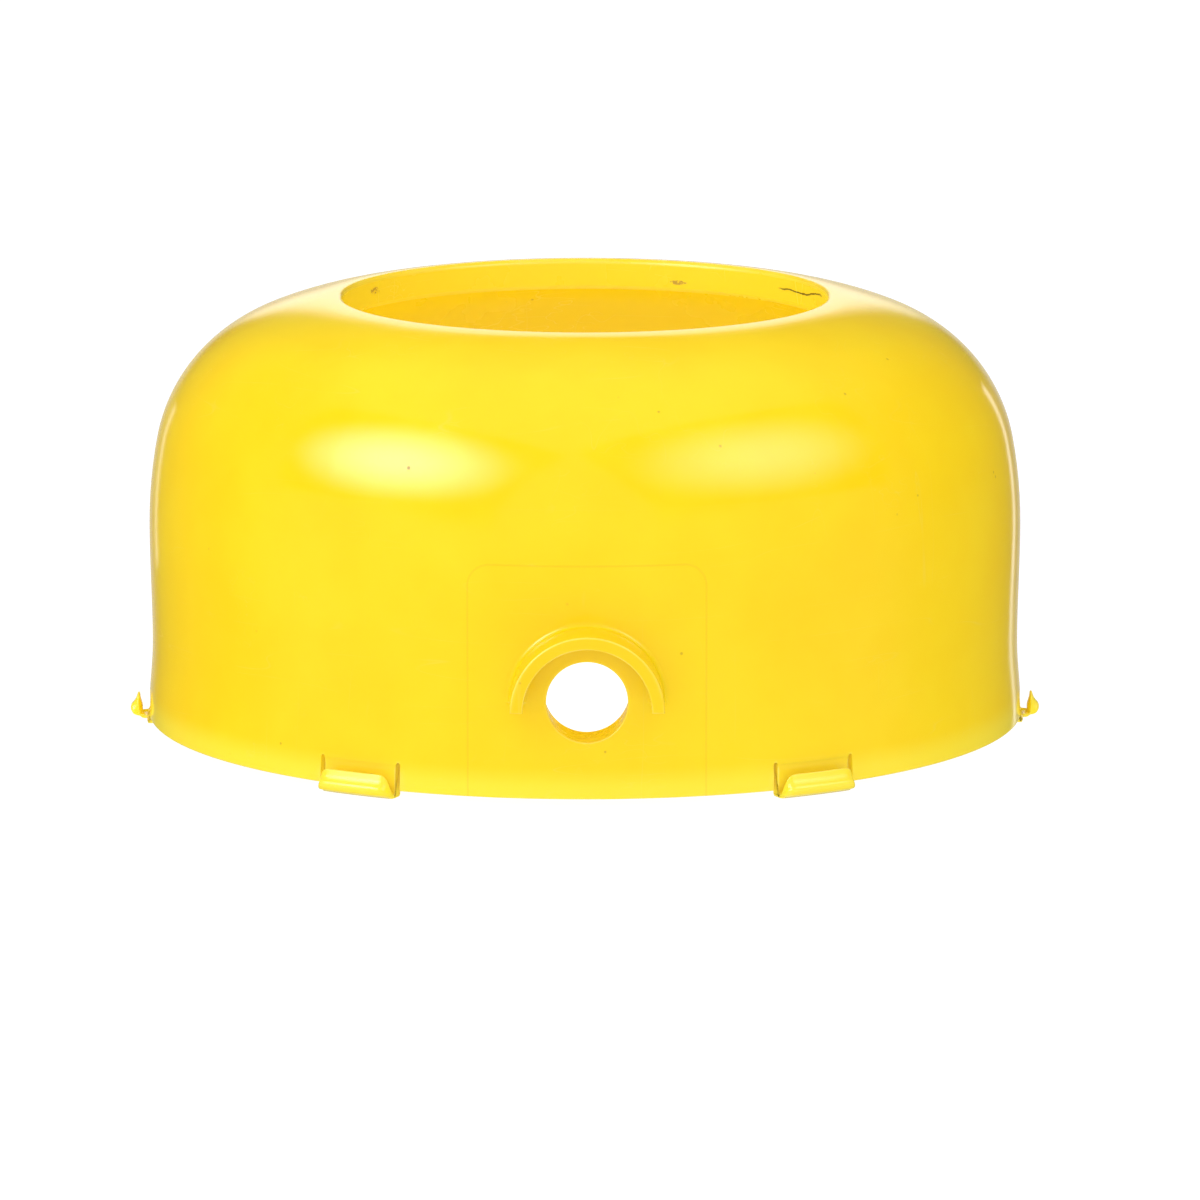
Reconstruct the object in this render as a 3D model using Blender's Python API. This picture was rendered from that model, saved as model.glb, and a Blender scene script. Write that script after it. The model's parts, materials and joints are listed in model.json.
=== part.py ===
"""Snap-on dome cover of an eyewash station: a moulded shell and its six snap fingers.

Metres, +Z up. The large opening faces +Z and the side hole faces -Y. The cover
stands on the undersides of its snap fingers, at Z = 0.
"""

import math

import bmesh
import bpy
from mathutils import Matrix, Vector

MM = 0.001

# Dome shell. Heights are above the plane of its rim.
RIM_RADIUS = 125.0 * MM
WAIST_RADIUS = 123.8 * MM
WAIST_HEIGHT = 22.0 * MM
BELLY_RADIUS = 124.4 * MM
BELLY_HEIGHT = 54.7 * MM
SHOULDER_ARCS = ((131.0 * MM, 11.0), (47.0 * MM, 57.0), (93.0 * MM, 13.0))  # radius, degrees
WALL = 3.0 * MM

# Round opening in the crown, with a collar that turns down into the dome
OPENING_RADIUS = 68.9 * MM
COLLAR_DEPTH = 7.5 * MM
LIP_ROUNDING = 1.5 * MM

# Side hole, the sleeve behind it and the hood over it
HOLE_RADIUS = 11.1 * MM
HOLE_HEIGHT = 26.8 * MM
SLEEVE_RADIUS = 16.0 * MM
SLEEVE_LENGTH = 18.8 * MM
HOOD_INNER_RADIUS = 17.5 * MM
HOOD_OUTER_RADIUS = 21.0 * MM
HOOD_REACH = 15.9 * MM
ROOT_IN_WALL = 2.3 * MM

# Snap fingers: each hangs from the shell between two slits and ends in a barb
FINGERS = {
    "snap_finger_right": 0.0,
    "snap_finger_rear_right": 60.0,
    "snap_finger_rear_left": 120.0,
    "snap_finger_left": 180.0,
    "snap_finger_front_left": 240.0,
    "snap_finger_front_right": 300.0,
}
FINGER_WIDTH = 22.5 * MM
FINGER_HEIGHT = 7.2 * MM
FINGER_DROP = 2.0 * MM
FINGER_OUTER_RADIUS = 124.7 * MM
SLIT_WIDTH = 1.3 * MM
ROOT_GAP = 0.3 * MM
BARB_RADIUS = 130.4 * MM
BARB_GAP = 2.3 * MM
BARB_HEIGHT = 4.2 * MM
BULB_HEIGHT = 1.1 * MM
BULB_ROUNDING = 1.7 * MM
LEAF_ROUNDING = 0.9 * MM
TIP_ROUNDING = 0.4 * MM
GAP_FLOOR = -0.55 * MM

# The dome's axis stands behind the origin, which is the middle of the whole cover's footprint.
AXIS_Y = (HOOD_REACH - (RIM_RADIUS - WAIST_RADIUS)) / 2
DOME_PLACE = Vector((0.0, AXIS_Y, FINGER_DROP))

ROUND_STEPS = 80
HOLE_STEPS = 40
ARC_STEP = 7.0  # degrees
SHARP_ANGLE = math.radians(30)


def plastic(name):
    """A glossy yellow moulded plastic, one material for each piece."""
    material = bpy.data.materials.new(name + "_plastic")
    material.use_nodes = True
    shader = material.node_tree.nodes["Principled BSDF"]
    shader.inputs["Base Color"].default_value = (0.94, 0.66, 0.012, 1.0)
    shader.inputs["Roughness"].default_value = 0.25
    shader.inputs["Metallic"].default_value = 0.0
    return material


def add_object(name, mesh, place):
    piece = bpy.data.objects.new(name, mesh)
    piece.location = place
    bpy.context.scene.collection.objects.link(piece)
    return piece


def mesh_from(bm, name):
    mesh = bpy.data.meshes.new(name)
    bmesh.ops.recalc_face_normals(bm, faces=bm.faces)
    bm.to_mesh(mesh)
    bm.free()
    return mesh


def shade(piece):
    piece.data.shade_smooth()
    piece.data.set_sharp_from_angle(angle=SHARP_ANGLE)


def eased(start, end, steps):
    """Radius and height from start to end, leaving and arriving upright."""
    points = []
    for step in range(steps):
        along = step / steps
        blend = (1 - math.cos(math.pi * along)) / 2
        radius = start[0] + (end[0] - start[0]) * blend
        points.append((radius, start[1] + (end[1] - start[1]) * along))
    return points


def tangent_arcs(start, arcs):
    """Points of arcs that follow on from one another, leaving start upright and turning inwards."""
    (x, z), heading = start, 90.0
    points = [(x, z)]
    for radius, sweep in arcs:
        centre_x = x - radius * math.sin(math.radians(heading))
        centre_z = z + radius * math.cos(math.radians(heading))
        steps = max(2, round(sweep / ARC_STEP))
        for step in range(1, steps + 1):
            angle = math.radians(heading + sweep * step / steps)
            points.append((centre_x + radius * math.sin(angle), centre_z - radius * math.cos(angle)))
        (x, z), heading = points[-1], heading + sweep
    return points


def round_corner(centre_x, centre_z, radius, first, last, steps):
    """Points of an arc about a centre, from the first angle to the last, in degrees."""
    points = []
    for step in range(steps + 1):
        angle = math.radians(first + (last - first) * step / steps)
        points.append((centre_x + radius * math.cos(angle), centre_z + radius * math.sin(angle)))
    return points


def wall_side(inset):
    """One side of the wall, from the rim up to the crown, set in from the outer skin."""
    rim = (RIM_RADIUS - inset, 0.0)
    waist = (WAIST_RADIUS - inset, WAIST_HEIGHT)
    belly = (BELLY_RADIUS - inset, BELLY_HEIGHT)
    arcs = [(radius - inset, sweep) for radius, sweep in SHOULDER_ARCS]
    return eased(rim, waist, 4) + eased(waist, belly, 4) + tangent_arcs(belly, arcs)


def shell_profile():
    outer = wall_side(0.0)
    inner = wall_side(WALL)
    lip_top = outer[-1][1] + 0.2 * MM
    lip_centre = (OPENING_RADIUS + LIP_ROUNDING, lip_top - LIP_ROUNDING)
    lip = round_corner(*lip_centre, LIP_ROUNDING, 90, 180, 3)
    foot = (OPENING_RADIUS + WALL / 2, lip_top - COLLAR_DEPTH)
    collar = round_corner(*foot, WALL / 2, 180, 360, 4)
    return outer + lip + collar + inner[::-1]


def screw_object(name, outline):
    """A closed outline of radius and height, turned about Z."""
    bm = bmesh.new()
    verts = [bm.verts.new((radius, 0.0, height)) for radius, height in reversed(outline)]
    for start, end in zip(verts, verts[1:] + verts[:1]):
        bm.edges.new((start, end))
    mesh = bpy.data.meshes.new(name)
    bm.to_mesh(mesh)
    bm.free()
    piece = add_object(name, mesh, DOME_PLACE)
    turn = piece.modifiers.new("turn", "SCREW")
    turn.steps = ROUND_STEPS
    turn.render_steps = ROUND_STEPS
    turn.use_merge_vertices = True
    turn.merge_threshold = 0.00001
    turn.use_normal_calculate = True
    return piece


def extrude_along_y(outline, start_y, end_y, name):
    """A flat outline of X and Z, made solid from start_y to end_y."""
    bm = bmesh.new()
    face = bm.faces.new([bm.verts.new((x, start_y, z)) for x, z in outline])
    grown = bmesh.ops.extrude_face_region(bm, geom=[face])["geom"]
    moved = [item for item in grown if isinstance(item, bmesh.types.BMVert)]
    bmesh.ops.translate(bm, verts=moved, vec=(0.0, end_y - start_y, 0.0))
    return mesh_from(bm, name)


def ring_points(radius, first, last, steps):
    return round_corner(0.0, HOLE_HEIGHT, radius, first, last, steps)


def helper(name, mesh):
    """A shape that a Boolean uses, and that isn't part of the cover."""
    piece = add_object(name, mesh, DOME_PLACE)
    piece.hide_render = True
    piece.display_type = "WIRE"
    return piece


def combine(piece, other, operation):
    step = piece.modifiers.new(other.name, "BOOLEAN")
    step.operation = operation
    step.solver = "EXACT"
    step.object = other


def sleeve_helper():
    front = -BELLY_RADIUS + ROOT_IN_WALL
    back = -BELLY_RADIUS + SLEEVE_LENGTH
    outline = ring_points(SLEEVE_RADIUS, 0, 360, HOLE_STEPS)[:-1]
    return helper("sleeve_solid", extrude_along_y(outline, front, back, "sleeve_solid"))


def hood_helper():
    front = -WAIST_RADIUS - HOOD_REACH
    back = -WAIST_RADIUS + ROOT_IN_WALL
    outer = ring_points(HOOD_OUTER_RADIUS, 0, 180, HOLE_STEPS // 2)
    inner = ring_points(HOOD_INNER_RADIUS, 180, 0, HOLE_STEPS // 2)
    return helper("hood_solid", extrude_along_y(outer + inner, front, back, "hood_solid"))


def hole_helper():
    outline = ring_points(HOLE_RADIUS, 0, 360, HOLE_STEPS)[:-1]
    front = -RIM_RADIUS - 2 * HOOD_REACH
    back = -BELLY_RADIUS + 2 * SLEEVE_LENGTH
    return helper("hole_cutter", extrude_along_y(outline, front, back, "hole_cutter"))


def notch_helper(name, degrees):
    """The room that a finger and its two slits take out of the rim."""
    width = FINGER_WIDTH + 2 * SLIT_WIDTH
    height = FINGER_HEIGHT + ROOT_GAP
    depth = 6 * WALL
    bm = bmesh.new()
    bmesh.ops.create_cube(bm, size=1.0)
    bmesh.ops.scale(bm, verts=bm.verts, vec=(depth, width, 2 * height))
    bmesh.ops.translate(bm, verts=bm.verts, vec=(RIM_RADIUS, 0.0, 0.0))
    bmesh.ops.rotate(bm, verts=bm.verts, matrix=Matrix.Rotation(math.radians(degrees), 3, "Z"))
    return helper(name, mesh_from(bm, name))


def make_cover_shell():
    shell = screw_object("cover_shell", shell_profile())
    combine(shell, sleeve_helper(), "UNION")
    combine(shell, hood_helper(), "UNION")
    combine(shell, hole_helper(), "DIFFERENCE")
    for name, degrees in FINGERS.items():
        combine(shell, notch_helper(name + "_notch", degrees), "DIFFERENCE")
    shell.data.materials.append(plastic("cover_shell"))
    shade(shell)
    return shell


def finger_profile():
    """The finger's section: a leaf that curls outwards under the rim and rises again as a barb."""
    leaf_inner = FINGER_OUTER_RADIUS - WALL
    barb_inner = FINGER_OUTER_RADIUS + BARB_GAP
    leaf_corner = (leaf_inner + LEAF_ROUNDING, LEAF_ROUNDING - FINGER_DROP)
    bulb = (BARB_RADIUS - BULB_ROUNDING, BULB_HEIGHT)
    tip = (barb_inner + TIP_ROUNDING, BARB_HEIGHT - TIP_ROUNDING)
    gap = (FINGER_OUTER_RADIUS + BARB_GAP / 2, GAP_FLOOR + BARB_GAP / 2)
    outline = [(FINGER_OUTER_RADIUS, FINGER_HEIGHT), (leaf_inner, FINGER_HEIGHT)]
    outline += round_corner(*leaf_corner, LEAF_ROUNDING, 180, 270, 3)
    outline.append((FINGER_OUTER_RADIUS, -FINGER_DROP))
    outline += round_corner(*bulb, BULB_ROUNDING, 290, 390, 5)
    outline += round_corner(*tip, TIP_ROUNDING, 30, 180, 3)
    outline += round_corner(*gap, BARB_GAP / 2, 0, -180, 6)
    return outline


def make_finger(name, degrees):
    """A finger whose origin is on its flexing line, at the middle of its root."""
    half_angle = math.asin(FINGER_WIDTH / 2 / FINGER_OUTER_RADIUS)
    hinge = Vector((FINGER_OUTER_RADIUS - WALL / 2, 0.0, FINGER_HEIGHT))
    bm = bmesh.new()
    section = bm.faces.new([bm.verts.new((x, 0.0, z)) for x, z in finger_profile()])
    bmesh.ops.rotate(bm, verts=section.verts, matrix=Matrix.Rotation(-half_angle, 3, "Z"))
    bmesh.ops.spin(
        bm, geom=[section], axis=(0.0, 0.0, 1.0), cent=(0.0, 0.0, 0.0), angle=2 * half_angle, steps=6
    )
    bmesh.ops.translate(bm, verts=bm.verts, vec=-hinge)
    turn = Matrix.Rotation(math.radians(degrees), 3, "Z")
    finger = add_object(name, mesh_from(bm, name), DOME_PLACE + turn @ hinge)
    finger.rotation_euler = (0.0, 0.0, math.radians(degrees))
    finger.data.materials.append(plastic(name))
    shade(finger)
    return finger


def main():
    for old in list(bpy.data.objects):
        bpy.data.objects.remove(old, do_unlink=True)
    make_cover_shell()
    for name, degrees in FINGERS.items():
        make_finger(name, degrees)


main()
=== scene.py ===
"""Looks of the eyewash dome cover: its moulded skin, snap fingers, material, light and camera."""

import json
import math

import bmesh
import bpy
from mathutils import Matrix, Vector


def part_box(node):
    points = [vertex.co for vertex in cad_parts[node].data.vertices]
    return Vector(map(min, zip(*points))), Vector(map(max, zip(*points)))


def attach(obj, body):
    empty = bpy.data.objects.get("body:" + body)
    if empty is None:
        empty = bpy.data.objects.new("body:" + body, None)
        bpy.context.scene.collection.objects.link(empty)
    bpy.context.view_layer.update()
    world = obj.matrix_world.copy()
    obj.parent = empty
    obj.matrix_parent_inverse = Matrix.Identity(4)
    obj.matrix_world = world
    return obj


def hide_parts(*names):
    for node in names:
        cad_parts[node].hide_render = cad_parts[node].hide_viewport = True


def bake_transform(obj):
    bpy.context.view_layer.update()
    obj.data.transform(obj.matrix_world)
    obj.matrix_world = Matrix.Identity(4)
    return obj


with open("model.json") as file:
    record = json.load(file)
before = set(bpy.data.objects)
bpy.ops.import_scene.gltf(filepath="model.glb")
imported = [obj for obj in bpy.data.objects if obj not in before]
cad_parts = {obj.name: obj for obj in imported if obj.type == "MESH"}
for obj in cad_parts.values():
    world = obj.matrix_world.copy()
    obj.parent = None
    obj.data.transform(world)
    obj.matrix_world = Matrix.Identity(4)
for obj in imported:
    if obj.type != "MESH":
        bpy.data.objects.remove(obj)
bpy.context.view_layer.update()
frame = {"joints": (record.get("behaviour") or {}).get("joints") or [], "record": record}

MM = 0.001
MOUNTS = {mount["name"]: Vector(mount["pos_m"]) for mount in frame["record"]["mounts"]}

# Where the CAD puts things
HINGES = [Vector(joint["pos_m"]) for joint in frame["joints"]]
AXIS_Y = sum(point.y for point in HINGES) / len(HINGES)
RIM_Z = MOUNTS["rim_seat"].z
CENTRE = Vector((0.0, AXIS_Y, RIM_Z))
FINGER_HEIGHT = HINGES[0].z - RIM_Z
HOOD_FRONT = MOUNTS["hood_face"].y - AXIS_Y
SLEEVE_END = MOUNTS["sleeve_end"].y - AXIS_Y
RIM_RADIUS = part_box("cover_shell")[1].y - AXIS_Y

# Dome shell. Heights are above the plane of the rim, and COLLAR_ROW is the spacing of the collar's rows.
WAIST_RADIUS = RIM_RADIUS - 1.2 * MM
WAIST_HEIGHT = 22.0 * MM
BELLY_RADIUS = RIM_RADIUS - 0.6 * MM
BELLY_HEIGHT = 54.7 * MM
SHOULDER_ARCS = ((131.0 * MM, 11.0), (47.0 * MM, 57.0), (93.0 * MM, 13.0))
WALL = 3.0 * MM
RIM_ROUNDING = 0.5 * MM
OPENING_RADIUS = 68.9 * MM
COLLAR_DEPTH = 7.5 * MM
LIP_ROUNDING = 1.5 * MM
LIP_RISE = 0.2 * MM
COLLAR_ROW = 1.5 * MM

# Degrees between the points of the shoulder's arcs
OUTER_ARC_STEP = 1.9
INNER_ARC_STEP = 2.6

# Side hole, sleeve and hood
HOLE_RADIUS = 11.1 * MM
BORE_END_RADIUS = 11.8 * MM
HOLE_HEIGHT = 26.8 * MM
SLEEVE_RADIUS = 16.0 * MM
HOOD_INNER = 17.5 * MM
HOOD_OUTER = 21.0 * MM
FILLET = 1.4 * MM
EDGE_ROUNDING = 0.45 * MM

# Rings of vertices: radii between hood and hole, Y along the sleeve's outside, and the radius on the
# inner wall round the sleeve's fillet
FACE_RINGS = (14.6 * MM, 13.1 * MM)
SLEEVE_RINGS = (-110.0 * MM, -114.0 * MM)
INNER_RING_RADIUS = 20.0 * MM

# The patch of wall that is laid out in rings round the side hole, and its columns to either side of
# the hole and rows above it
PATCH_HALF_ANGLE = math.radians(12.3)
PATCH_BOTTOM = 3.0 * MM
PATCH_TOP = 51.4 * MM
PATCH_COLUMNS = 12
PATCH_ROWS = 9

# The fingers' places, in degrees from the front
FINGER_COUNT = 6
FINGER_SPACING = 60.0
FIRST_FINGER = -150.0

# The shell's columns: how many steps cross a slit and a finger, then in radians the widest step
# elsewhere, the difference up to which two angles are the same, and an angle's decimal places
SLIT_COLUMNS = 6
FINGER_COLUMNS = 10
WIDEST_COLUMN = math.radians(1.6)
SAME_ANGLE = 1e-6
ANGLE_DECIMALS = 9
SAME_HEIGHT = 1e-9

# Snap fingers
FINGER_WIDTH = 22.5 * MM
FINGER_DROP = 2.0 * MM
SLIT_WIDTH = 1.3 * MM
BARB_RADIUS = 130.4 * MM
BARB_GAP = 2.3 * MM
BULB_HEIGHT = 0.7 * MM
BULB_ROUNDING = 1.7 * MM
LEAF_ROUNDING = 0.9 * MM
TIP_ROUNDING = 0.3 * MM
TIP_LEAN = 0.6 * MM
TIP_HEIGHT = 4.9 * MM
GROOVE_FLOOR = -1.35 * MM
FINGER_EDGE = 0.35 * MM
BARB_REACH = 11.1 * MM
SIDE_BARB_REACH = 3.4 * MM
BARB_MIDDLE = 1.4 * MM
SHARP_ANGLE = 32.0
WORN_RADIUS = 0.6 * MM
ROOT_REACH = 0.8 * MM
ROOT_FADE = 1.5 * MM
LEAST_DISTANCE = 1e-6
LAST_COLUMN_SHARE = 0.97

# How a barb tapers towards its ends: the power of its loss, the shares of barb and web that are left,
# and where the web of a side barb falls away, in parts of the barb's reach
WIDE_BARB_POWER = 14
SIDE_BARB_POWER = 4
BARB_END = 0.07
WEB_END = 0.25
WEB_FALL_START = 0.85
WEB_FALL_LENGTH = 0.5

# Rows of the leaf in mm, on its inner side down from the root and on its outer side up from the groove
LEAF_DROPS = (0.7, 2.2, 4.2, 6.2)
LEAF_RISES = (1.2, 3.0, 4.8, 6.0)

# The foot's underside in mm, out from the leaf's outer side and up from the foot
FOOT_POINTS = ((-0.8, 0.0), (0.4, 0.0), (1.8, 0.05))

# The barb's drop shape between bulb and point in mm, out from the bulb's middle and up from the rim
DROP_OUTER_SIDE = ((0.62, 2.55), (0.28, 3.1), (0.02, 3.7))
DROP_INNER_SIDE = ((-1.06, 3.4), (-1.3, 2.5), (-1.6, 1.5), (-1.7, 0.7))

# Marks on the skin
SLIDE_HALF_WIDTH = 32.5 * MM
SLIDE_TOP = 64.4 * MM
SLIDE_CORNER = 6.0 * MM
SLIDE_LINE = (0.1 * MM, 0.4 * MM)
SLIDE_STEP = (-0.2 * MM, 0.2 * MM)
CRACK_HEIGHT = 115.2 * MM
CRACK_CLIMB = 1.8 * MM
CRACK_WANDER = 1.6 * MM
CRACK_WIDTH = (0.08 * MM, 0.3 * MM)
STAIN_PLACE = (-60.5 * MM, 33 * MM, 116.3 * MM)
STAIN_SIZE = (3.6 * MM, 6 * MM, 2.2 * MM)
SMUDGE_PLACE = (27.5 * MM, 63 * MM, 114 * MM)
SMUDGE_SIZE = (5.5 * MM, 4 * MM, 1.3 * MM)
DAB_SCALE = 1300.0
SPECK_PLACE = (-48.5 * MM, -109 * MM, 89 * MM)
SPECK_EDGE = (0.3 * MM, 0.8 * MM)

# Angles of the crack's start, climb and end, in radians from the back towards +X
CRACK_START = (math.radians(54), math.radians(57))
CRACK_CLIMBING = (math.radians(64), math.radians(80))
CRACK_END = (math.radians(78), math.radians(81))

# Where the zones of the skin start and end. Y is from the dome's axis, minus at the front, and Z is
# up from the rim.
SKIN_MIDDLE = (0.0, 0.0, 30 * MM)
INSIDE_TURN = (-5 * MM, 5 * MM)
FRONT_Y = (-60 * MM, -50 * MM)
RIM_BAND_Z = (2 * MM, 9.5 * MM)
COLLAR_Z = (109 * MM, 111 * MM)
BORE_RADIUS = (12.0 * MM, 12.6 * MM)
BORE_START_Y = (-123.4 * MM, -122.4 * MM)
BORE_END_Y = (-98 * MM, -95 * MM)
HOOD_Y = (-126.5 * MM, -125 * MM)
HOOD_Z = (20 * MM, 23 * MM)
UNDER_HOOD_RADIUS = (15.5 * MM, 18.2 * MM)
UNDER_HOOD_Z = (HOLE_HEIGHT - 8 * MM, HOLE_HEIGHT + 4 * MM)
# How strongly painted light lifts the shade on the wall under the hood
UNDER_HOOD_PAINTED_LIGHT = 0.36
SLIT_Z = (8.2 * MM, 8.8 * MM)

# How far a face may look outwards, and up or down, and still count as a slit's side
SLIT_OUTWARDS = (0.25, 0.6)
SLIT_UPWARDS = (0.3, 0.7)

# The plastic. The side hole's bore is tinted paler as painted light, and the same painted light
# lies on the slits' sides and on the wall under the hood, lifting their shade.
SUBSURFACE_WEIGHT = 0.25
SUBSURFACE_RADIUS = (1.0, 0.85, 0.1)
SUBSURFACE_SCALE = 0.0012
GLOSS_ROUGHNESS = 0.07
BODY_DEEP = (0.935, 0.625, 0.005, 1)
BODY_LIGHT = (0.955, 0.672, 0.008, 1)
BODY_MOTTLE = (0.95, 0.665, 0.012, 1)
# Painted light: the inside is paler than the outside, to make the inside of the dome brighter
INSIDE_PAINTED_LIGHT_COLOUR = (0.975, 0.72, 0.004, 1)
COLLAR_COLOUR = (0.96, 0.71, 0.028, 1)
PAINTED_LIGHT_COLOUR = (0.99, 0.8, 0.035, 1)
# Painted light: the band along the rim and the fingers is paler, standing in for the light table's glow and
# lifting the shade above the barbs
RIM_PAINTED_LIGHT_COLOUR = (0.97, 0.78, 0.05, 1)
# Painted shade: the hood is made darker to tone down the light on its face
HOOD_PAINTED_SHADE_COLOUR = (0.9, 0.57, 0.006, 1)
WORN_COLOUR = (0.97, 0.82, 0.2, 1)
GRIME_COLOUR = (0.34, 0.17, 0.015, 1)
CRACK_COLOUR = (0.08, 0.035, 0.008, 1)

# Camera and stage
CAMERA_LENS = 244.0
CAMERA_ELEVATION = 11.53
CAMERA_AZIMUTH = -0.25
CAMERA_DISTANCE = 2.337
AIM_UP = 31.6 * MM
AIM_RIGHT = 4.3 * MM
FLOOR_WIDTH = 8.0
TABLE_GREY = (0.12, 0.12, 0.12, 1)
FLOOR_GLOW = 0.97
FLOOR_GAP = 0.1 * MM
LAMP_DISTANCE = 1.6
FRONT_GLOW = 0.36
REAR_GLOW = 0.1
CEILING_GLOW = 0.58
BACKDROP_GLOW = 1.15
SKIRT_GLOW = 0.5
BELOW_GLOW = 0.1
BACKDROP_NARROWING = 0.2
FILL_GLOW = 0.6
FILL_TILT = (-0.34, -0.55, 0.9)
TABLE_GLOW = 1.25
TABLE_RADIUS = 116 * MM
TABLE_LIFT = 0.2 * MM
REFLECTOR_ANGLE = 78.5
REFLECTOR_WIDTH = 0.03
BLACK = (0, 0, 0, 1)
WHITE = (1, 1, 1, 1)

# Zones of the studio as gloss sees it, in parts of a direction of length 1: height is up and depth is
# towards the back
FRONT_TO_REAR = (-0.3, 0.3)
CEILING_HEIGHT = (0.5, 1.15)
BELOW_HEIGHT = (-0.6, -0.3)
BEHIND_DEPTH = (0.0, 0.1)
BACKDROP_FOOT = (-0.03, 0.1)
BACKDROP_SIDE = (0.13, 0.2)
BACKDROP_TOP = (0.42, 0.5)
SKIRT_SIDE = (0.1, 0.42)
SKIRT_TOP = (-0.04, 0.05)


# ---------------------------------------------------------------- outlines


def wall_radius(z):
    """Outer radius of the wall at a height up to the belly."""
    if z < WAIST_HEIGHT:
        start, end, along = RIM_RADIUS, WAIST_RADIUS, z / WAIST_HEIGHT
    else:
        start, end = WAIST_RADIUS, BELLY_RADIUS
        along = (z - WAIST_HEIGHT) / (BELLY_HEIGHT - WAIST_HEIGHT)
    return start + (end - start) * (1 - math.cos(math.pi * min(max(along, 0.0), 1.0))) / 2


def tangent_arcs(start, arcs, step_degrees):
    """Points of arcs that follow on from one another, leaving start upright and turning inwards."""
    (x, z), heading = start, 90.0
    points = [(x, z)]
    for radius, sweep in arcs:
        centre_x = x - radius * math.sin(math.radians(heading))
        centre_z = z + radius * math.cos(math.radians(heading))
        steps = max(3, round(sweep / step_degrees))
        for step in range(1, steps + 1):
            angle = math.radians(heading + sweep * step / steps)
            points.append((centre_x + radius * math.sin(angle), centre_z - radius * math.cos(angle)))
        (x, z), heading = points[-1], heading + sweep
    return points


def round_corner(centre_x, centre_z, radius, first, last, steps):
    """Points of an arc from the first angle to the last, in degrees."""
    points = []
    for step in range(steps + 1):
        angle = math.radians(first + (last - first) * step / steps)
        points.append((centre_x + radius * math.cos(angle), centre_z + radius * math.sin(angle)))
    return points


def wall_rows():
    """Heights of the wall's rows, from just above the rim's rounding to just below the belly."""
    spacing = (PATCH_TOP - HOLE_HEIGHT) / PATCH_ROWS
    below = [3.2 * MM, 1.95 * MM, 1.25 * MM, 0.7 * MM, 0.3 * MM]
    rows = [1.6 * MM, PATCH_BOTTOM, 5.1 * MM, FINGER_HEIGHT, 8.6 * MM]
    rows += [11.6 * MM, 14.8 * MM, 17.6 * MM, 20.4 * MM]
    rows += [HOLE_HEIGHT - drop for drop in below]
    rows += [HOLE_HEIGHT + spacing * step for step in range(PATCH_ROWS + 1)]
    return rows


def section_loop():
    """The shell's closed section, and the row numbers of each wall row on its outer and inner side."""
    rows = wall_rows()
    outer_rim = round_corner(RIM_RADIUS - RIM_ROUNDING, RIM_ROUNDING, RIM_ROUNDING, 270, 360, 3)
    inner_edge = RIM_RADIUS - WALL
    inner_rim = round_corner(inner_edge + RIM_ROUNDING, RIM_ROUNDING, RIM_ROUNDING, 180, 270, 3)
    crown = tangent_arcs((BELLY_RADIUS, BELLY_HEIGHT), SHOULDER_ARCS, OUTER_ARC_STEP)
    inner_arcs = [(radius - WALL, sweep) for radius, sweep in SHOULDER_ARCS]
    inner_crown = tangent_arcs((BELLY_RADIUS - WALL, BELLY_HEIGHT), inner_arcs, INNER_ARC_STEP)
    lip_top = crown[-1][1] + LIP_RISE
    lip = round_corner(OPENING_RADIUS + LIP_ROUNDING, lip_top - LIP_ROUNDING, LIP_ROUNDING, 90, 180, 6)
    bore = [(OPENING_RADIUS, lip_top - LIP_ROUNDING - COLLAR_ROW * step) for step in (1, 2, 3)]
    foot = (OPENING_RADIUS + WALL / 2, lip_top - COLLAR_DEPTH)
    collar = round_corner(*foot, WALL / 2, 180, 360, 8)
    loop = list(outer_rim)
    outer_index = {}
    for z in rows:
        outer_index[z] = len(loop)
        loop.append((wall_radius(z), z))
    loop += crown + lip + bore + collar + inner_crown[::-1]
    inner_index = {}
    for z in reversed(rows):
        inner_index[z] = len(loop)
        loop.append((wall_radius(z) - WALL, z))
    loop += inner_rim
    return loop, rows, outer_index, inner_index


# ---------------------------------------------------------------- shell


def front_columns():
    """Angles of the columns across the patch, the front being at zero."""
    return [PATCH_HALF_ANGLE * step / PATCH_COLUMNS for step in range(-PATCH_COLUMNS, PATCH_COLUMNS + 1)]


def finger_angles():
    """Half the angle of a finger and of the notch it hangs in."""
    finger = math.asin(FINGER_WIDTH / 2 / (RIM_RADIUS - WALL / 2))
    notch = math.asin((FINGER_WIDTH / 2 + SLIT_WIDTH) / (RIM_RADIUS - WALL / 2))
    return finger, notch


def near_finger(angle, reach):
    """Whether an angle is within reach of the middle of a finger."""
    nearest = round((math.degrees(angle) - FIRST_FINGER) / FINGER_SPACING)
    return abs(angle - math.radians(FIRST_FINGER + FINGER_SPACING * nearest)) < reach


def shell_columns():
    """Angles of every column from the front, with fine ones across the patch and the slits, and how
    near each column of a slit is to the slit's middle, from 0 to 1."""
    finger, notch = finger_angles()
    special = set(round(angle, ANGLE_DECIMALS) for angle in front_columns())
    nearness = {}
    for number in range(FINGER_COUNT):
        middle = math.radians(FIRST_FINGER + FINGER_SPACING * number)
        for side in (-1, 1):
            for step in range(SLIT_COLUMNS + 1):
                share = step / SLIT_COLUMNS
                angle = round(middle + side * (finger + (notch - finger) * share), ANGLE_DECIMALS)
                special.add(angle)
                nearness[angle] = 1 - abs(2 * share - 1)
        for step in range(1, FINGER_COLUMNS):
            angle = middle - finger + 2 * finger * step / FINGER_COLUMNS
            special.add(round(angle, ANGLE_DECIMALS))
    anchors = sorted(special)
    columns = []
    for here, there in zip(anchors, anchors[1:] + [anchors[0] + 2 * math.pi]):
        gap = there - here
        parts = max(1, math.ceil(gap / WIDEST_COLUMN))
        columns += [here + gap * part / parts for part in range(parts)]
    return columns, nearness


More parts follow.
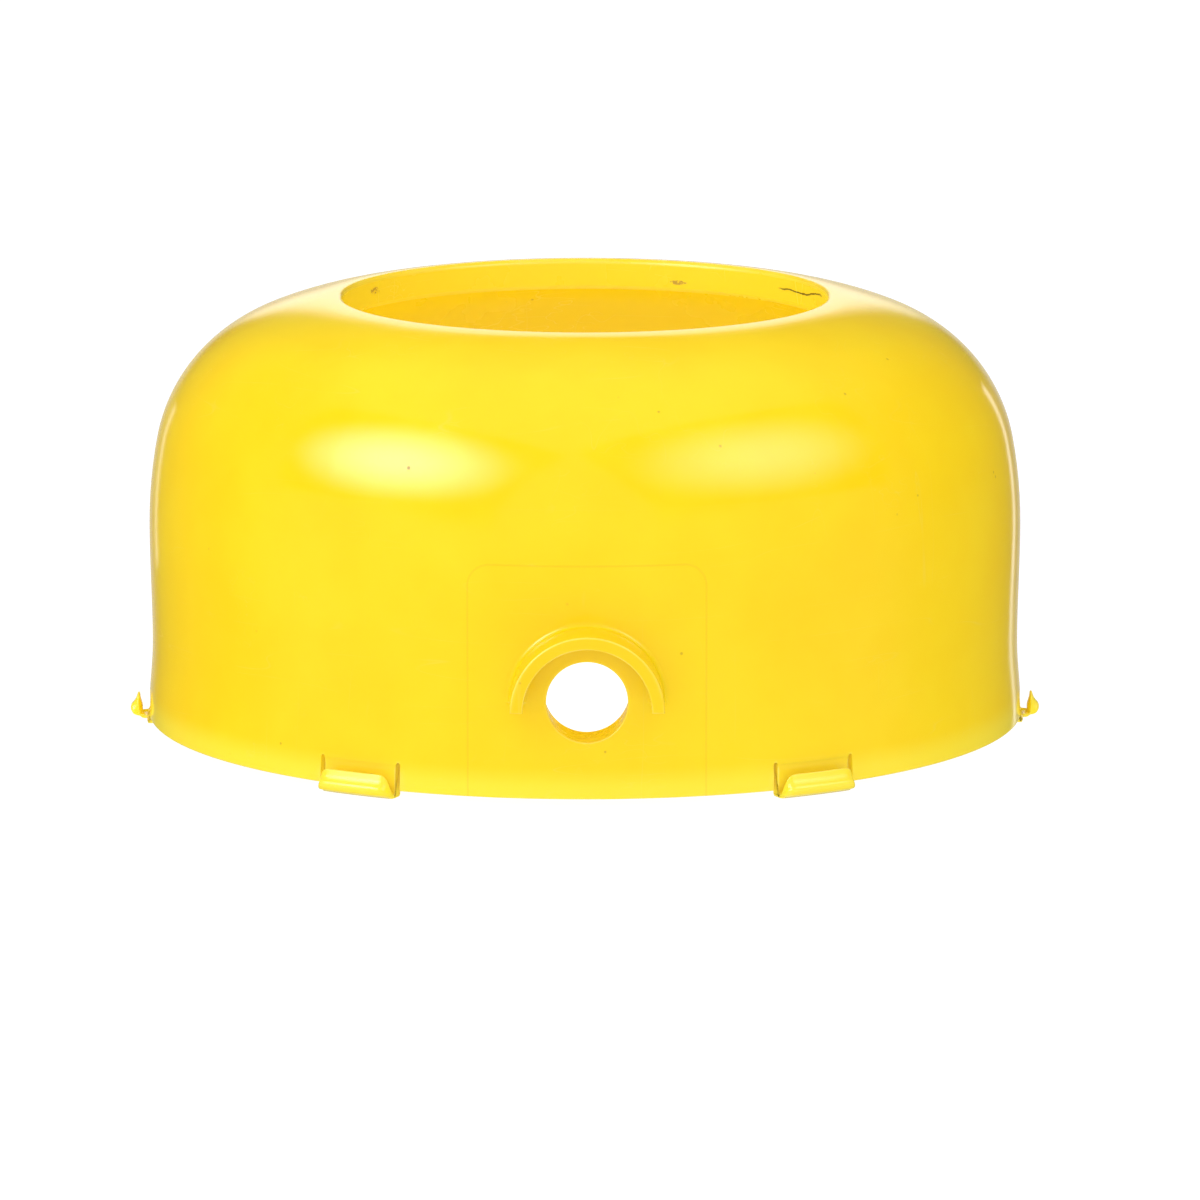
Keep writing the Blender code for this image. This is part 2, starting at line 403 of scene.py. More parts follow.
def on_dome(radius, angle, z):
    """A point at an angle counted from the front (-Y), turning towards +X."""
    return Vector((radius * math.sin(angle), -radius * math.cos(angle), z))


def fillet_height(distance):
    """How high a fillet stands at a distance from the foot of an upright wall."""
    if distance >= FILLET:
        return 0.0
    reach = FILLET - max(distance, 0.0)
    return FILLET - math.sqrt(FILLET**2 - reach**2)


def hood_distance(x, z):
    """Distance in the XZ plane from the hood's half-ring footprint."""
    drop = HOLE_HEIGHT - z
    if drop <= SAME_HEIGHT:
        ring = math.hypot(x, drop)
        return max(HOOD_INNER - ring, ring - HOOD_OUTER, 0.0)
    beside = max(HOOD_INNER - abs(x), abs(x) - HOOD_OUTER, 0.0)
    return math.hypot(beside, drop)


def outer_point(x, z):
    """A point of the wall's outer face, which rises in a fillet to the hood."""
    depth = math.sqrt(wall_radius(z) ** 2 - x**2)
    return Vector((x, -depth - fillet_height(hood_distance(x, z)), z))


def inner_point(x, z):
    """A point of the wall's inner face, which rises in a fillet to the sleeve."""
    depth = math.sqrt((wall_radius(z) - WALL) ** 2 - x**2)
    ring = math.hypot(x, z - HOLE_HEIGHT)
    return Vector((x, -depth + fillet_height(ring - SLEEVE_RADIUS), z))


def spoke_point(direction, radius):
    """X and Z of the point at a radius from the hole's middle."""
    return radius * direction[0], HOLE_HEIGHT + radius * direction[1]


def strip(bm, first, second, faces=None):
    """Quads between two closed rings of vertices."""
    for number, (a, b) in enumerate(zip(first, second)):
        following = (number + 1) % len(first)
        face = bm.faces.new((a, first[following], second[following], b))
        if faces is not None:
            faces.append(face)


def fill_patch(bm, outer_edge, inner_edge):
    """The wall round the side hole, the hole, its sleeve, and the inner wall round the sleeve. Returns
    the faces of the hood's footprint."""
    directions = []
    for vert in outer_edge:
        offset = Vector((vert.co.x, vert.co.z - HOLE_HEIGHT))
        directions.append(offset / offset.length)

    def surface_ring(point_at, radius):
        return [bm.verts.new(point_at(*spoke_point(way, radius))) for way in directions]

    def halfway_ring(point_at, radius, edge):
        ring = []
        for way, vert in zip(directions, edge):
            reach = Vector((vert.co.x, vert.co.z - HOLE_HEIGHT)).length
            ring.append(bm.verts.new(point_at(*spoke_point(way, (radius + reach) / 2))))
        return ring

    def flat_ring(radius, y):
        ring = []
        for way in directions:
            x, z = spoke_point(way, radius)
            ring.append(bm.verts.new((x, y, z)))
        return ring

    def bore_ring(radius, inset):
        ring = []
        for way in directions:
            x, z = spoke_point(way, radius)
            ring.append(bm.verts.new(outer_point(x, z) + Vector((0.0, inset, 0.0))))
        return ring

    fillet_steps = (1.0, 0.64, 0.36, 0.14, 0.0)
    rings = [list(outer_edge)]
    rings.append(halfway_ring(outer_point, HOOD_OUTER + FILLET, outer_edge))
    rings += [surface_ring(outer_point, HOOD_OUTER + FILLET * step) for step in fillet_steps]
    hood_start = len(rings) - 1
    rings.append(surface_ring(outer_point, (HOOD_OUTER + HOOD_INNER) / 2))
    rings += [surface_ring(outer_point, HOOD_INNER - FILLET * step) for step in reversed(fillet_steps)]
    rings += [surface_ring(outer_point, radius) for radius in FACE_RINGS]
    edge = EDGE_ROUNDING
    rings.append(surface_ring(outer_point, HOLE_RADIUS + edge))
    for degrees in (30, 60, 90):
        turn = math.radians(degrees)
        inset = edge * (1 - math.cos(turn))
        rings.append(bore_ring(HOLE_RADIUS + edge * (1 - math.sin(turn)), inset))
    wall_y = -WAIST_RADIUS
    for share in (0.25, 0.5, 0.75):
        radius = HOLE_RADIUS + (BORE_END_RADIUS - HOLE_RADIUS) * share
        rings.append(flat_ring(radius, wall_y + (SLEEVE_END - wall_y) * share))
    for degrees in (0, 30, 60, 90):
        turn = math.radians(degrees)
        radius = BORE_END_RADIUS + edge * (1 - math.cos(turn))
        rings.append(flat_ring(radius, SLEEVE_END - edge * (1 - math.sin(turn))))
    for degrees in (0, 30, 60, 90):
        turn = math.radians(degrees)
        radius = SLEEVE_RADIUS - edge * (1 - math.sin(turn))
        rings.append(flat_ring(radius, SLEEVE_END - edge * (1 - math.cos(turn))))
    rings += [flat_ring(SLEEVE_RADIUS, y) for y in SLEEVE_RINGS]
    rings += [surface_ring(inner_point, SLEEVE_RADIUS + FILLET * step) for step in reversed(fillet_steps)]
    rings.append(surface_ring(inner_point, INNER_RING_RADIUS))
    rings.append(halfway_ring(inner_point, INNER_RING_RADIUS, inner_edge))
    rings.append(list(inner_edge))
    hood_faces = []
    for number, (first, second) in enumerate(zip(rings, rings[1:])):
        in_hood = hood_start <= number < hood_start + 2
        strip(bm, first, second, hood_faces if in_hood else None)
    return [face for face in hood_faces if face.calc_center_median().z > HOLE_HEIGHT]


def raise_hood(bm, footprint):
    """Draws the half-ring footprint out to the hood's front face and rounds its front edges."""
    grown = bmesh.ops.extrude_face_region(bm, geom=footprint)["geom"]
    bmesh.ops.delete(bm, geom=footprint, context="FACES")
    top_verts = [item for item in grown if isinstance(item, bmesh.types.BMVert)]
    for vert in top_verts:
        vert.co.y = HOOD_FRONT
    tops = set(item for item in grown if isinstance(item, bmesh.types.BMFace))
    rim_edges = [edge for edge in bm.edges if sum(face in tops for face in edge.link_faces) == 1]
    bmesh.ops.bevel(bm, geom=rim_edges, offset=EDGE_ROUNDING, segments=3, profile=0.5, affect="EDGES")


def wall_grid(bm, loop, columns, nearness):
    """The shell's vertices, a ring for each point of the section. The row at the fingers' roots rises
    over the slits in half rounds."""
    grid = []
    for radius, z in loop:
        ring = []
        for angle in columns:
            height = z
            if z == FINGER_HEIGHT:
                wrapped = round((angle + math.pi) % (2 * math.pi) - math.pi, ANGLE_DECIMALS)
                share = nearness.get(wrapped, 0.0)
                height += SLIT_WIDTH / 2 * math.sqrt(1 - (1 - share) ** 2)
            ring.append(bm.verts.new(on_dome(radius, angle, height)))
        grid.append(ring)
    return grid


def shell_mesh():
    """The whole shell: wall, crown and collar with the fingers' notches cut out of the rim, and the
    patch with the side hole, sleeve and hood."""
    loop, rows, outer_index, inner_index = section_loop()
    columns, nearness = shell_columns()
    count = len(columns)
    column_ends = columns[1:] + [columns[0] + 2 * math.pi]
    notch = finger_angles()[1]
    notched = [near_finger((start + end) / 2, notch) for start, end in zip(columns, column_ends)]
    in_patch = [-PATCH_HALF_ANGLE < angle + SAME_ANGLE < PATCH_HALF_ANGLE for angle in columns]
    outer_patch = range(outer_index[PATCH_BOTTOM], outer_index[rows[-1]])
    inner_patch = range(inner_index[rows[-1]], inner_index[PATCH_BOTTOM])
    outer_root = outer_index[FINGER_HEIGHT]
    inner_root = inner_index[FINGER_HEIGHT]

    bm = bmesh.new()
    grid = wall_grid(bm, loop, columns, nearness)
    for i, ring in enumerate(grid):
        following = grid[(i + 1) % len(grid)]
        patch_row = i in outer_patch or i in inner_patch
        finger_row = i < outer_root or i >= inner_root
        for j in range(count):
            if (in_patch[j] and patch_row) or (notched[j] and finger_row):
                continue
            side = (j + 1) % count
            bm.faces.new((ring[j], ring[side], following[side], following[j]))
    outer_ring, inner_ring = grid[outer_root], grid[inner_root]
    for j in range(count):
        side = (j + 1) % count
        if notched[j]:
            bm.faces.new((outer_ring[j], outer_ring[side], inner_ring[side], inner_ring[j]))
        if notched[j] != notched[j - 1]:
            slit_side = [grid[i][j] for i in range(outer_root, -1, -1)]
            slit_side += [grid[i][j] for i in range(len(grid) - 1, inner_root - 1, -1)]
            bm.faces.new(slit_side)

    patch_columns = [j for j, inside in enumerate(in_patch) if inside]
    first, last = patch_columns[0], patch_columns[-1] + 1
    patch_rows = [z for z in rows if z >= PATCH_BOTTOM]
    start = patch_rows.index(HOLE_HEIGHT)

    def border(index):
        """The patch's border seen from the front, anticlockwise from the right of the hole's middle."""
        right = [grid[index[z]][last] for z in patch_rows]
        left = [grid[index[z]][first] for z in patch_rows]
        top = [grid[index[patch_rows[-1]]][j] for j in range(last - 1, first, -1)]
        bottom = [grid[index[patch_rows[0]]][j] for j in range(first + 1, last)]
        return right[start:] + top + left[::-1] + bottom + right[:start]

    footprint = fill_patch(bm, border(outer_index), border(inner_index))
    loose = [vert for vert in bm.verts if not vert.link_faces]
    bmesh.ops.delete(bm, geom=loose, context="VERTS")
    raise_hood(bm, footprint)
    bmesh.ops.recalc_face_normals(bm, faces=bm.faces)
    bmesh.ops.translate(bm, verts=bm.verts, vec=CENTRE)
    return bm


# ---------------------------------------------------------------- fingers


def finger_section():
    """A finger's closed section: a flat leaf, and past a groove at its foot a barb shaped like a drop
    with its point up. It starts at the top of the leaf's outer side."""
    outer = wall_radius(FINGER_HEIGHT)
    inner = outer - WALL
    groove = GROOVE_FLOOR + BARB_GAP / 2
    bulb_x = BARB_RADIUS - BULB_ROUNDING
    tip = (bulb_x - TIP_LEAN, TIP_HEIGHT - TIP_ROUNDING)
    points = [(outer - WALL * step / 4, FINGER_HEIGHT) for step in range(5)]
    points += [(inner, FINGER_HEIGHT - drop * MM) for drop in LEAF_DROPS]
    leaf_foot = (inner + LEAF_ROUNDING, LEAF_ROUNDING - FINGER_DROP)
    points += round_corner(*leaf_foot, LEAF_ROUNDING, 180, 270, 6)
    points += [(outer + x * MM, z * MM - FINGER_DROP) for x, z in FOOT_POINTS]
    points += round_corner(bulb_x, BULB_HEIGHT, BULB_ROUNDING, 255, 410, 16)
    points += [(bulb_x + x * MM, z * MM) for x, z in DROP_OUTER_SIDE]
    points += round_corner(*tip, TIP_ROUNDING, 20, 170, 6)
    points += [(bulb_x + x * MM, z * MM) for x, z in DROP_INNER_SIDE]
    points += round_corner(outer + BARB_GAP / 2, groove, BARB_GAP / 2, 0, -180, 12)
    points += [(outer, groove + rise * MM) for rise in LEAF_RISES]
    return points


def inset_points(points, amount):
    """The points of a closed section moved inwards, by less near the root. The section runs down its
    inner side and up its outer side."""
    moved = []
    for number, (x, z) in enumerate(points):
        before = Vector(points[number - 1])
        after = Vector(points[(number + 1) % len(points)])
        along = (after - before).normalized()
        fade = min(max((FINGER_HEIGHT - z) / ROOT_FADE, 0.0), 1.0)
        moved.append((x - along.y * amount * fade, z + along.x * amount * fade))
    return moved


def taper_barb(radius, z, angle, barb_reach):
    """Where a point of the finger's section goes at an angle from the finger's middle. The barb gets
    lower and thinner towards its ends. Past the end of a short barb the web falls away as well."""
    leaf = wall_radius(FINGER_HEIGHT)
    beyond = radius - leaf
    if beyond <= 0:
        return radius, z
    along = abs(angle) * leaf / barb_reach
    short = barb_reach < BARB_REACH
    loss = min(along, 1.0) ** (SIDE_BARB_POWER if short else WIDE_BARB_POWER)
    thick = BARB_END + (1 - BARB_END) * math.sqrt(1 - loss)
    high = BARB_END + (1 - BARB_END) * (1 - loss)
    share = min(beyond / BARB_GAP, 1.0)
    if z > GROOVE_FLOOR:
        z += share * (GROOVE_FLOOR + (z - GROOVE_FLOOR) * high - z)
    middle = BARB_GAP + BARB_MIDDLE
    if beyond < BARB_GAP:
        beyond += share * (1 - thick) * BARB_MIDDLE
    else:
        beyond = middle + (beyond - middle) * thick
    if short:
        fall = min(max((along - WEB_FALL_START) / WEB_FALL_LENGTH, 0.0), 1.0)
        thick = 1 - fall * fall * (3 - 2 * fall)
    return leaf + beyond * (WEB_END + (1 - WEB_END) * thick), z


def finger_stations(barb_reach):
    """Angles across a finger from its middle, each with how far the section is drawn in there to round
    off the finger's side edges. They lie closer together towards the ends of the barb."""
    reach = finger_angles()[0]
    edges = []
    for degrees in (0, 22.5, 45, 67.5, 90):
        turn = math.radians(degrees)
        angle = FINGER_EDGE * (1 - math.cos(turn)) / RIM_RADIUS - reach
        edges.append((angle, FINGER_EDGE * (1 - math.sin(turn))))
    spread = reach - FINGER_EDGE / RIM_RADIUS
    barb_end = barb_reach / RIM_RADIUS
    furthest = min(barb_end, LAST_COLUMN_SHARE * spread)
    middle = [furthest * math.sin(math.pi / 2 * step / 12) for step in range(-12, 13)]
    beyond = []
    if barb_reach < BARB_REACH:
        beyond += [barb_end * share for share in (1.06, 1.12, 1.2, 1.28, 1.36)]
        beyond += [beyond[-1] + (spread - beyond[-1]) * step / 5 for step in range(1, 5)]
    angles = [-angle for angle in reversed(beyond)] + middle + beyond
    stations = edges + [(angle, 0.0) for angle in angles]
    return stations + [(-angle, inset) for angle, inset in reversed(edges)]


def finger_mesh(middle, barb_reach):
    """One finger, turned about the dome's axis to the middle angle, its side edges rounded off. Its
    barb reaches so far to either side of the middle."""
    section = finger_section()
    bm = bmesh.new()
    rings = []
    for angle, inset in finger_stations(barb_reach):
        ring = []
        for radius, z in inset_points(section, inset):
            radius, z = taper_barb(radius, z, angle, barb_reach)
            ring.append(bm.verts.new(on_dome(radius, middle + angle, z)))
        rings.append(ring)
    for first, second in zip(rings, rings[1:]):
        strip(bm, first, second)
    for ring in (rings[0], rings[-1]):
        cap = bm.faces.new(ring)
        bmesh.ops.triangulate(bm, faces=[cap])
    bmesh.ops.recalc_face_normals(bm, faces=bm.faces)
    bmesh.ops.translate(bm, verts=bm.verts, vec=CENTRE)
    return bm


# ---------------------------------------------------------------- pieces


def edge_wear(bm):
    """For each vertex, from 0 on flat or hollow surface to 1 on an edge as sharp as WORN_RADIUS.
    There is none at the fingers' roots, where they are one with the wall."""
    bm.verts.index_update()
    bend = [0.0] * len(bm.verts)
    for edge in bm.edges:
        if len(edge.link_faces) != 2:
            continue
        first, second = edge.link_faces
        apart = (first.calc_center_median() - second.calc_center_median()).length
        turn = edge.calc_face_angle_signed(0.0)
        amount = min(max(turn * WORN_RADIUS / max(apart, LEAST_DISTANCE), 0.0), 1.0)
        for vert in edge.verts:
            from_root = abs(vert.co.z - RIM_Z - FINGER_HEIGHT)
            bend[vert.index] = max(bend[vert.index], amount * min(from_root / ROOT_REACH, 1.0))
    return bend


def finish_piece(name, bm, material):
    loose = [vert for vert in bm.verts if not vert.link_faces]
    bmesh.ops.delete(bm, geom=loose, context="VERTS")
    edges = edge_wear(bm)
    mesh = bpy.data.meshes.new(name)
    bm.to_mesh(mesh)
    bm.free()
    worn = mesh.attributes.new("edge_wear", "FLOAT", "POINT")
    worn.data.foreach_set("value", edges)
    piece = bpy.data.objects.new(name, mesh)
    bpy.context.scene.collection.objects.link(piece)
    mesh.materials.append(material)
    mesh.shade_smooth()
    mesh.set_sharp_from_angle(angle=math.radians(SHARP_ANGLE))
    weighted = piece.modifiers.new("weighted_normals", "WEIGHTED_NORMAL")
    weighted.keep_sharp = True
    return piece


def make_shell(material):
    piece = finish_piece("dome_shell", shell_mesh(), material)
    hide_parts("cover_shell")
    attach(piece, "cover")


def make_fingers(material):
    """One finger for each joint, at the joint's angle round the rim, in place of the CAD's finger; the left
    and right fingers get the short barbs.
    """
    for joint in frame["joints"]:
        name = joint["child"].removesuffix("_finger")
        hinge = Vector(joint["pos_m"])
        middle = math.atan2(hinge.x, -(hinge.y - AXIS_Y))
        barb_reach = SIDE_BARB_REACH if name in ("left", "right") else BARB_REACH
        piece = finish_piece(f"finger_{name}", finger_mesh(middle, barb_reach), material)
        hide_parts(f"snap_finger_{name}")
        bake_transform(piece)


# ---------------------------------------------------------------- shader nodes


def feed(tree, socket, value):
    """Links an output to the socket, or sets the socket's value."""
    if isinstance(value, bpy.types.NodeSocket):
        tree.links.new(value, socket)
    else:
        socket.default_value = value


def value_math(tree, operation, first, second=0.0):
    node = tree.nodes.new("ShaderNodeMath")
    node.operation = operation
    feed(tree, node.inputs[0], first)
    feed(tree, node.inputs[1], second)
    return node.outputs["Value"]


def vector_math(tree, operation, first, second=(0.0, 0.0, 0.0), output="Vector"):
    node = tree.nodes.new("ShaderNodeVectorMath")
    node.operation = operation
    feed(tree, node.inputs[0], first)
    feed(tree, node.inputs[1], second)
    return node.outputs[output]


def ramp(tree, value, start, end, low=0.0, high=1.0):
    """A smooth step from low to high as value goes from start to end."""
    node = tree.nodes.new("ShaderNodeMapRange")
    node.interpolation_type = "SMOOTHSTEP"
    feed(tree, node.inputs["Value"], value)
    feed(tree, node.inputs["From Min"], start)
    feed(tree, node.inputs["From Max"], end)
    feed(tree, node.inputs["To Min"], low)
    feed(tree, node.inputs["To Max"], high)
    return node.outputs["Result"]


def fade_out(tree, value, start, end):
    return ramp(tree, value, start, end, 1.0, 0.0)


def noise(tree, place, scale, detail=2.0, stretch=(1.0, 1.0, 1.0)):
    """Noise from 0 to 1 with about scale blobs in a metre."""
    node = tree.nodes.new("ShaderNodeTexNoise")
    feed(tree, node.inputs["Vector"], vector_math(tree, "MULTIPLY", place, stretch))
    node.inputs["Scale"].default_value = scale
    node.inputs["Detail"].default_value = detail
    return node.outputs["Fac"]


def split_parts(tree, vector):
    """The X, Y and Z parts of a vector, by name."""
    node = tree.nodes.new("ShaderNodeSeparateXYZ")
    feed(tree, node.inputs["Vector"], vector)
    return {axis: node.outputs[axis] for axis in "XYZ"}


def magnitude(tree, value):
    return value_math(tree, "ABSOLUTE", value)


def hairlines(tree, place, scale, width, stretch):
    """Thin curved lines: where a stretched noise passes through its middle value."""
    field = noise(tree, place, scale, 1.0, stretch)
    return fade_out(tree, magnitude(tree, value_math(tree, "SUBTRACT", field, 0.5)), 0.0, width)


def both(tree, first, second):
    """Where two masks overlap."""
    return value_math(tree, "MULTIPLY", first, second)


def either(tree, first, second):
    """Where there is one mask or the other."""
    return value_math(tree, "MAXIMUM", first, second)


def blend_colours(tree, factor, first, second):
    node = tree.nodes.new("ShaderNodeMix")
    node.data_type = "RGBA"
    feed(tree, node.inputs[0], factor)
    feed(tree, node.inputs[6], first)
    feed(tree, node.inputs[7], second)
    return node.outputs[2]


def add_up(tree, terms):
    """The sum of outputs, each times its weight."""
    total = 0.0
    for output, weight in terms:
        total = value_math(tree, "ADD", total, value_math(tree, "MULTIPLY", output, weight))
    return total


# ---------------------------------------------------------------- material


def skin_point(tree):
    """A point of the skin: its place from the middle of the rim, the X, Y and Z of that, its offset and
    distance from the dome's axis, and the way the surface faces."""
    place = vector_math(tree, "SUBTRACT", tree.nodes.new("ShaderNodeTexCoord").outputs["Object"], CENTRE)
    point = split_parts(tree, place)
    point["place"] = place
    point["offset"] = vector_math(tree, "MULTIPLY", place, (1.0, 1.0, 0.0))
    point["radius"] = vector_math(tree, "LENGTH", point["offset"], output="Value")
    point["facing"] = tree.nodes.new("ShaderNodeNewGeometry").outputs["Normal"]
    return point


def slit_sides(tree, point):
    """The upright faces near the rim that look along it."""
    axis_away = vector_math(tree, "NORMALIZE", point["offset"])
    outwards = vector_math(tree, "DOT_PRODUCT", point["facing"], axis_away, "Value")
    upwards = split_parts(tree, point["facing"])["Z"]
    along_rim = fade_out(tree, magnitude(tree, outwards), *SLIT_OUTWARDS)
    upright = fade_out(tree, magnitude(tree, upwards), *SLIT_UPWARDS)
    return both(tree, both(tree, along_rim, upright), fade_out(tree, point["Z"], *SLIT_Z))


def skin_zones(tree, point):
    """The zones of the skin, each from 0 outside it to 1 within it. Whether a point is inside the shell
    shows in the way its surface faces. Some zones carry painted light or shade: the inside, the rim band and
    the bore, slits and wall under the hood are tinted paler as painted light, the hood darker as painted
    shade."""
    from_middle = vector_math(tree, "SUBTRACT", point["place"], SKIN_MIDDLE)
    outwards = vector_math(tree, "DOT_PRODUCT", point["facing"], from_middle, "Value")
    inside = fade_out(tree, outwards, *INSIDE_TURN)
    front = fade_out(tree, point["Y"], *FRONT_Y)
    from_hole = vector_math(tree, "SUBTRACT", point["place"], (0.0, 0.0, HOLE_HEIGHT))
    from_hole = vector_math(tree, "MULTIPLY", from_hole, (1.0, 0.0, 1.0))
    ring = vector_math(tree, "LENGTH", from_hole, output="Value")
    depth = both(tree, ramp(tree, point["Y"], *BORE_START_Y), fade_out(tree, point["Y"], *BORE_END_Y))
    bore = both(tree, fade_out(tree, ring, *BORE_RADIUS), depth)
    # Painted light on the wall under the hood, lifting the hood's shade
    under_hood = both(tree, ramp(tree, ring, *UNDER_HOOD_RADIUS, UNDER_HOOD_PAINTED_LIGHT, 0.0), front)
    under_hood = both(tree, under_hood, ramp(tree, point["Z"], *UNDER_HOOD_Z))
    return {
        "inside": inside,
        "front": front,
        "outer_front": both(tree, front, value_math(tree, "SUBTRACT", 1.0, inside)),
        # Painted light: a paler band up from the rim, over the fingers
        "rim": fade_out(tree, point["Z"], *RIM_BAND_Z),
        # Painted shade: the hood, which is tinted darker
        "hood": both(tree, fade_out(tree, point["Y"], *HOOD_Y), ramp(tree, point["Z"], *HOOD_Z)),
        "collar": both(tree, inside, ramp(tree, point["Z"], *COLLAR_Z)),
        # Painted light: the bore, the slits' sides and the wall under the hood, which lie in shade, are made
        # paler
        "painted_light": either(tree, either(tree, bore, slit_sides(tree, point)), under_hood),
    }


def slide_mark(tree, point):
    """Distance outside the rounded outline that the mould's slide leaves round the side hole."""
    corner = SLIDE_CORNER
    beside = value_math(tree, "SUBTRACT", magnitude(tree, point["X"]), SLIDE_HALF_WIDTH - corner)
    above = value_math(tree, "SUBTRACT", point["Z"], SLIDE_TOP - corner)
    beside_out = value_math(tree, "MAXIMUM", beside, 0.0)
    above_out = value_math(tree, "MAXIMUM", above, 0.0)
    beside_square = value_math(tree, "MULTIPLY", beside_out, beside_out)
    above_square = value_math(tree, "MULTIPLY", above_out, above_out)
    outside = value_math(tree, "SQRT", value_math(tree, "ADD", beside_square, above_square))
    inside = value_math(tree, "MINIMUM", value_math(tree, "MAXIMUM", beside, above), 0.0)
    return value_math(tree, "SUBTRACT", value_math(tree, "ADD", outside, inside), corner)


def lip_crack(tree, point):
    """A dark hair crack that wanders along the bore of the top opening, at the back right."""
    turn = value_math(tree, "ARCTAN2", point["X"], point["Y"])
    wander = value_math(tree, "MULTIPLY", noise(tree, point["place"], 260.0, 3.0), CRACK_WANDER)
    rise = ramp(tree, turn, *CRACK_CLIMBING, CRACK_HEIGHT, CRACK_HEIGHT + CRACK_CLIMB)
    line = value_math(tree, "ADD", rise, wander)
    away = magnitude(tree, value_math(tree, "SUBTRACT", point["Z"], line))
    near_bore = fade_out(tree, point["radius"], OPENING_RADIUS + 0.6 * MM, OPENING_RADIUS + 1.0 * MM)
    length = both(tree, ramp(tree, turn, *CRACK_START), fade_out(tree, turn, *CRACK_END))
    return both(tree, both(tree, fade_out(tree, away, *CRACK_WIDTH), near_bore), length)


def stain(tree, place, spot, size, threshold):
    """A smudge round a spot, broken up into dabs."""
    away = vector_math(tree, "DIVIDE", vector_math(tree, "SUBTRACT", place, spot), size)
    near = fade_out(tree, vector_math(tree, "LENGTH", away, output="Value"), 0.3, 1.0)
    dabs = value_math(tree, "MULTIPLY", near, noise(tree, place, DAB_SCALE, 3.0))
    return ramp(tree, dabs, threshold, threshold + 0.2)


def stains_and_speck(tree, place):
    """The two stains in the lip of the top opening and the dark speck on the wall below it."""
    stains = either(tree, stain(tree, place, STAIN_PLACE, STAIN_SIZE, 0.4),
                    stain(tree, place, SMUDGE_PLACE, SMUDGE_SIZE, 0.36))
    from_speck = vector_math(tree, "DISTANCE", place, SPECK_PLACE, "Value")
    return either(tree, stains, fade_out(tree, from_speck, *SPECK_EDGE))


def skin_marks(tree, point, zones):
    """Patterns, wear and marks of the skin, each from 0 to 1."""
    place = point["place"]
    mottle = noise(tree, place, 95.0, 3.0)
    patchy = ramp(tree, noise(tree, place, 55.0, 3.0), 0.42, 0.66)
    sparse = ramp(tree, noise(tree, place, 30.0), 0.5, 0.62)
    upright = hairlines(tree, place, 6.0, 0.003, (12.0, 12.0, 1.0))
    level = hairlines(tree, place, 7.0, 0.003, (1.0, 1.0, 13.0))
    fine = hairlines(tree, place, 90.0, 0.012, (1.0, 2.2, 3.0))
    long_scratches = either(tree, both(tree, upright, sparse), both(tree, level, patchy))
    edge = tree.nodes.new("ShaderNodeAttribute")
    edge.attribute_name = "edge_wear"
    dots = tree.nodes.new("ShaderNodeTexVoronoi")
    feed(tree, dots.inputs["Vector"], place)
    dots.inputs["Scale"].default_value = 120.0
    slide = slide_mark(tree, point)
    slide_line = fade_out(tree, magnitude(tree, slide), *SLIDE_LINE)
    return {
        "clouds": noise(tree, place, 24.0, 3.0),
        "mottle": mottle,
        "peel": noise(tree, place, 620.0),
        "waves": noise(tree, place, 34.0, 1.0),
        "scratches": either(tree, long_scratches, both(tree, fine, both(tree, sparse, patchy))),
        "rubbed": both(tree, ramp(tree, edge.outputs["Fac"], 0.1, 0.75), ramp(tree, mottle, 0.2, 0.62)),
        "dust": both(tree, fade_out(tree, dots.outputs["Distance"], 0.03, 0.07), sparse),
        "slide_line": both(tree, slide_line, zones["outer_front"]),
        "slide_step": both(tree, ramp(tree, slide, *SLIDE_STEP), zones["front"]),
        "crack": lip_crack(tree, point),
        "stains": stains_and_speck(tree, place),
    }


def skin_colour(tree, zones, marks):
    """The colour of the plastic, with each zone's tint and then each mark's laid over it in turn. The tints
    of the rim, the inside and the bore, slits and wall under the hood are painted light; the hood's is
    painted shade.
    """
    colour = blend_colours(tree, ramp(tree, marks["clouds"], 0.32, 0.68), BODY_DEEP, BODY_LIGHT)
    layers = [
        (marks["mottle"], 0.25, BODY_MOTTLE),
        # Painted light along the rim and the fingers, lifting the shade above the barbs
        (zones["rim"], 0.75, RIM_PAINTED_LIGHT_COLOUR),
        # Painted shade on the hood, toning down the light on its face
        (zones["hood"], 0.65, HOOD_PAINTED_SHADE_COLOUR),
        (marks["rubbed"], 0.4, WORN_COLOUR),
        # Painted light: the inside of the shell is made paler to brighten it
        (zones["inside"], 0.85, INSIDE_PAINTED_LIGHT_COLOUR),
        (zones["collar"], 1.0, COLLAR_COLOUR),
        # Painted light that lifts the shade in the bore, on the slits' sides and under the hood
        (zones["painted_light"], 0.9, PAINTED_LIGHT_COLOUR),
        (marks["scratches"], 0.1, WORN_COLOUR),
        (marks["slide_line"], 0.12, GRIME_COLOUR),
        (marks["dust"], 0.45, GRIME_COLOUR),
        (marks["stains"], 0.75, GRIME_COLOUR),
        (marks["crack"], 0.9, CRACK_COLOUR),
    ]
    for mask, strength, tint in layers:
        colour = blend_colours(tree, value_math(tree, "MULTIPLY", mask, strength), colour, tint)
    return colour


def skin_roughness(tree, zones, marks):
    terms = [(marks["clouds"], 0.08), (marks["mottle"], 0.04), (zones["inside"], 0.14)]
    terms += [(marks["scratches"], 0.1), (marks["rubbed"], 0.12), (marks["stains"], 0.3)]
    return value_math(tree, "ADD", add_up(tree, terms), GLOSS_ROUGHNESS)


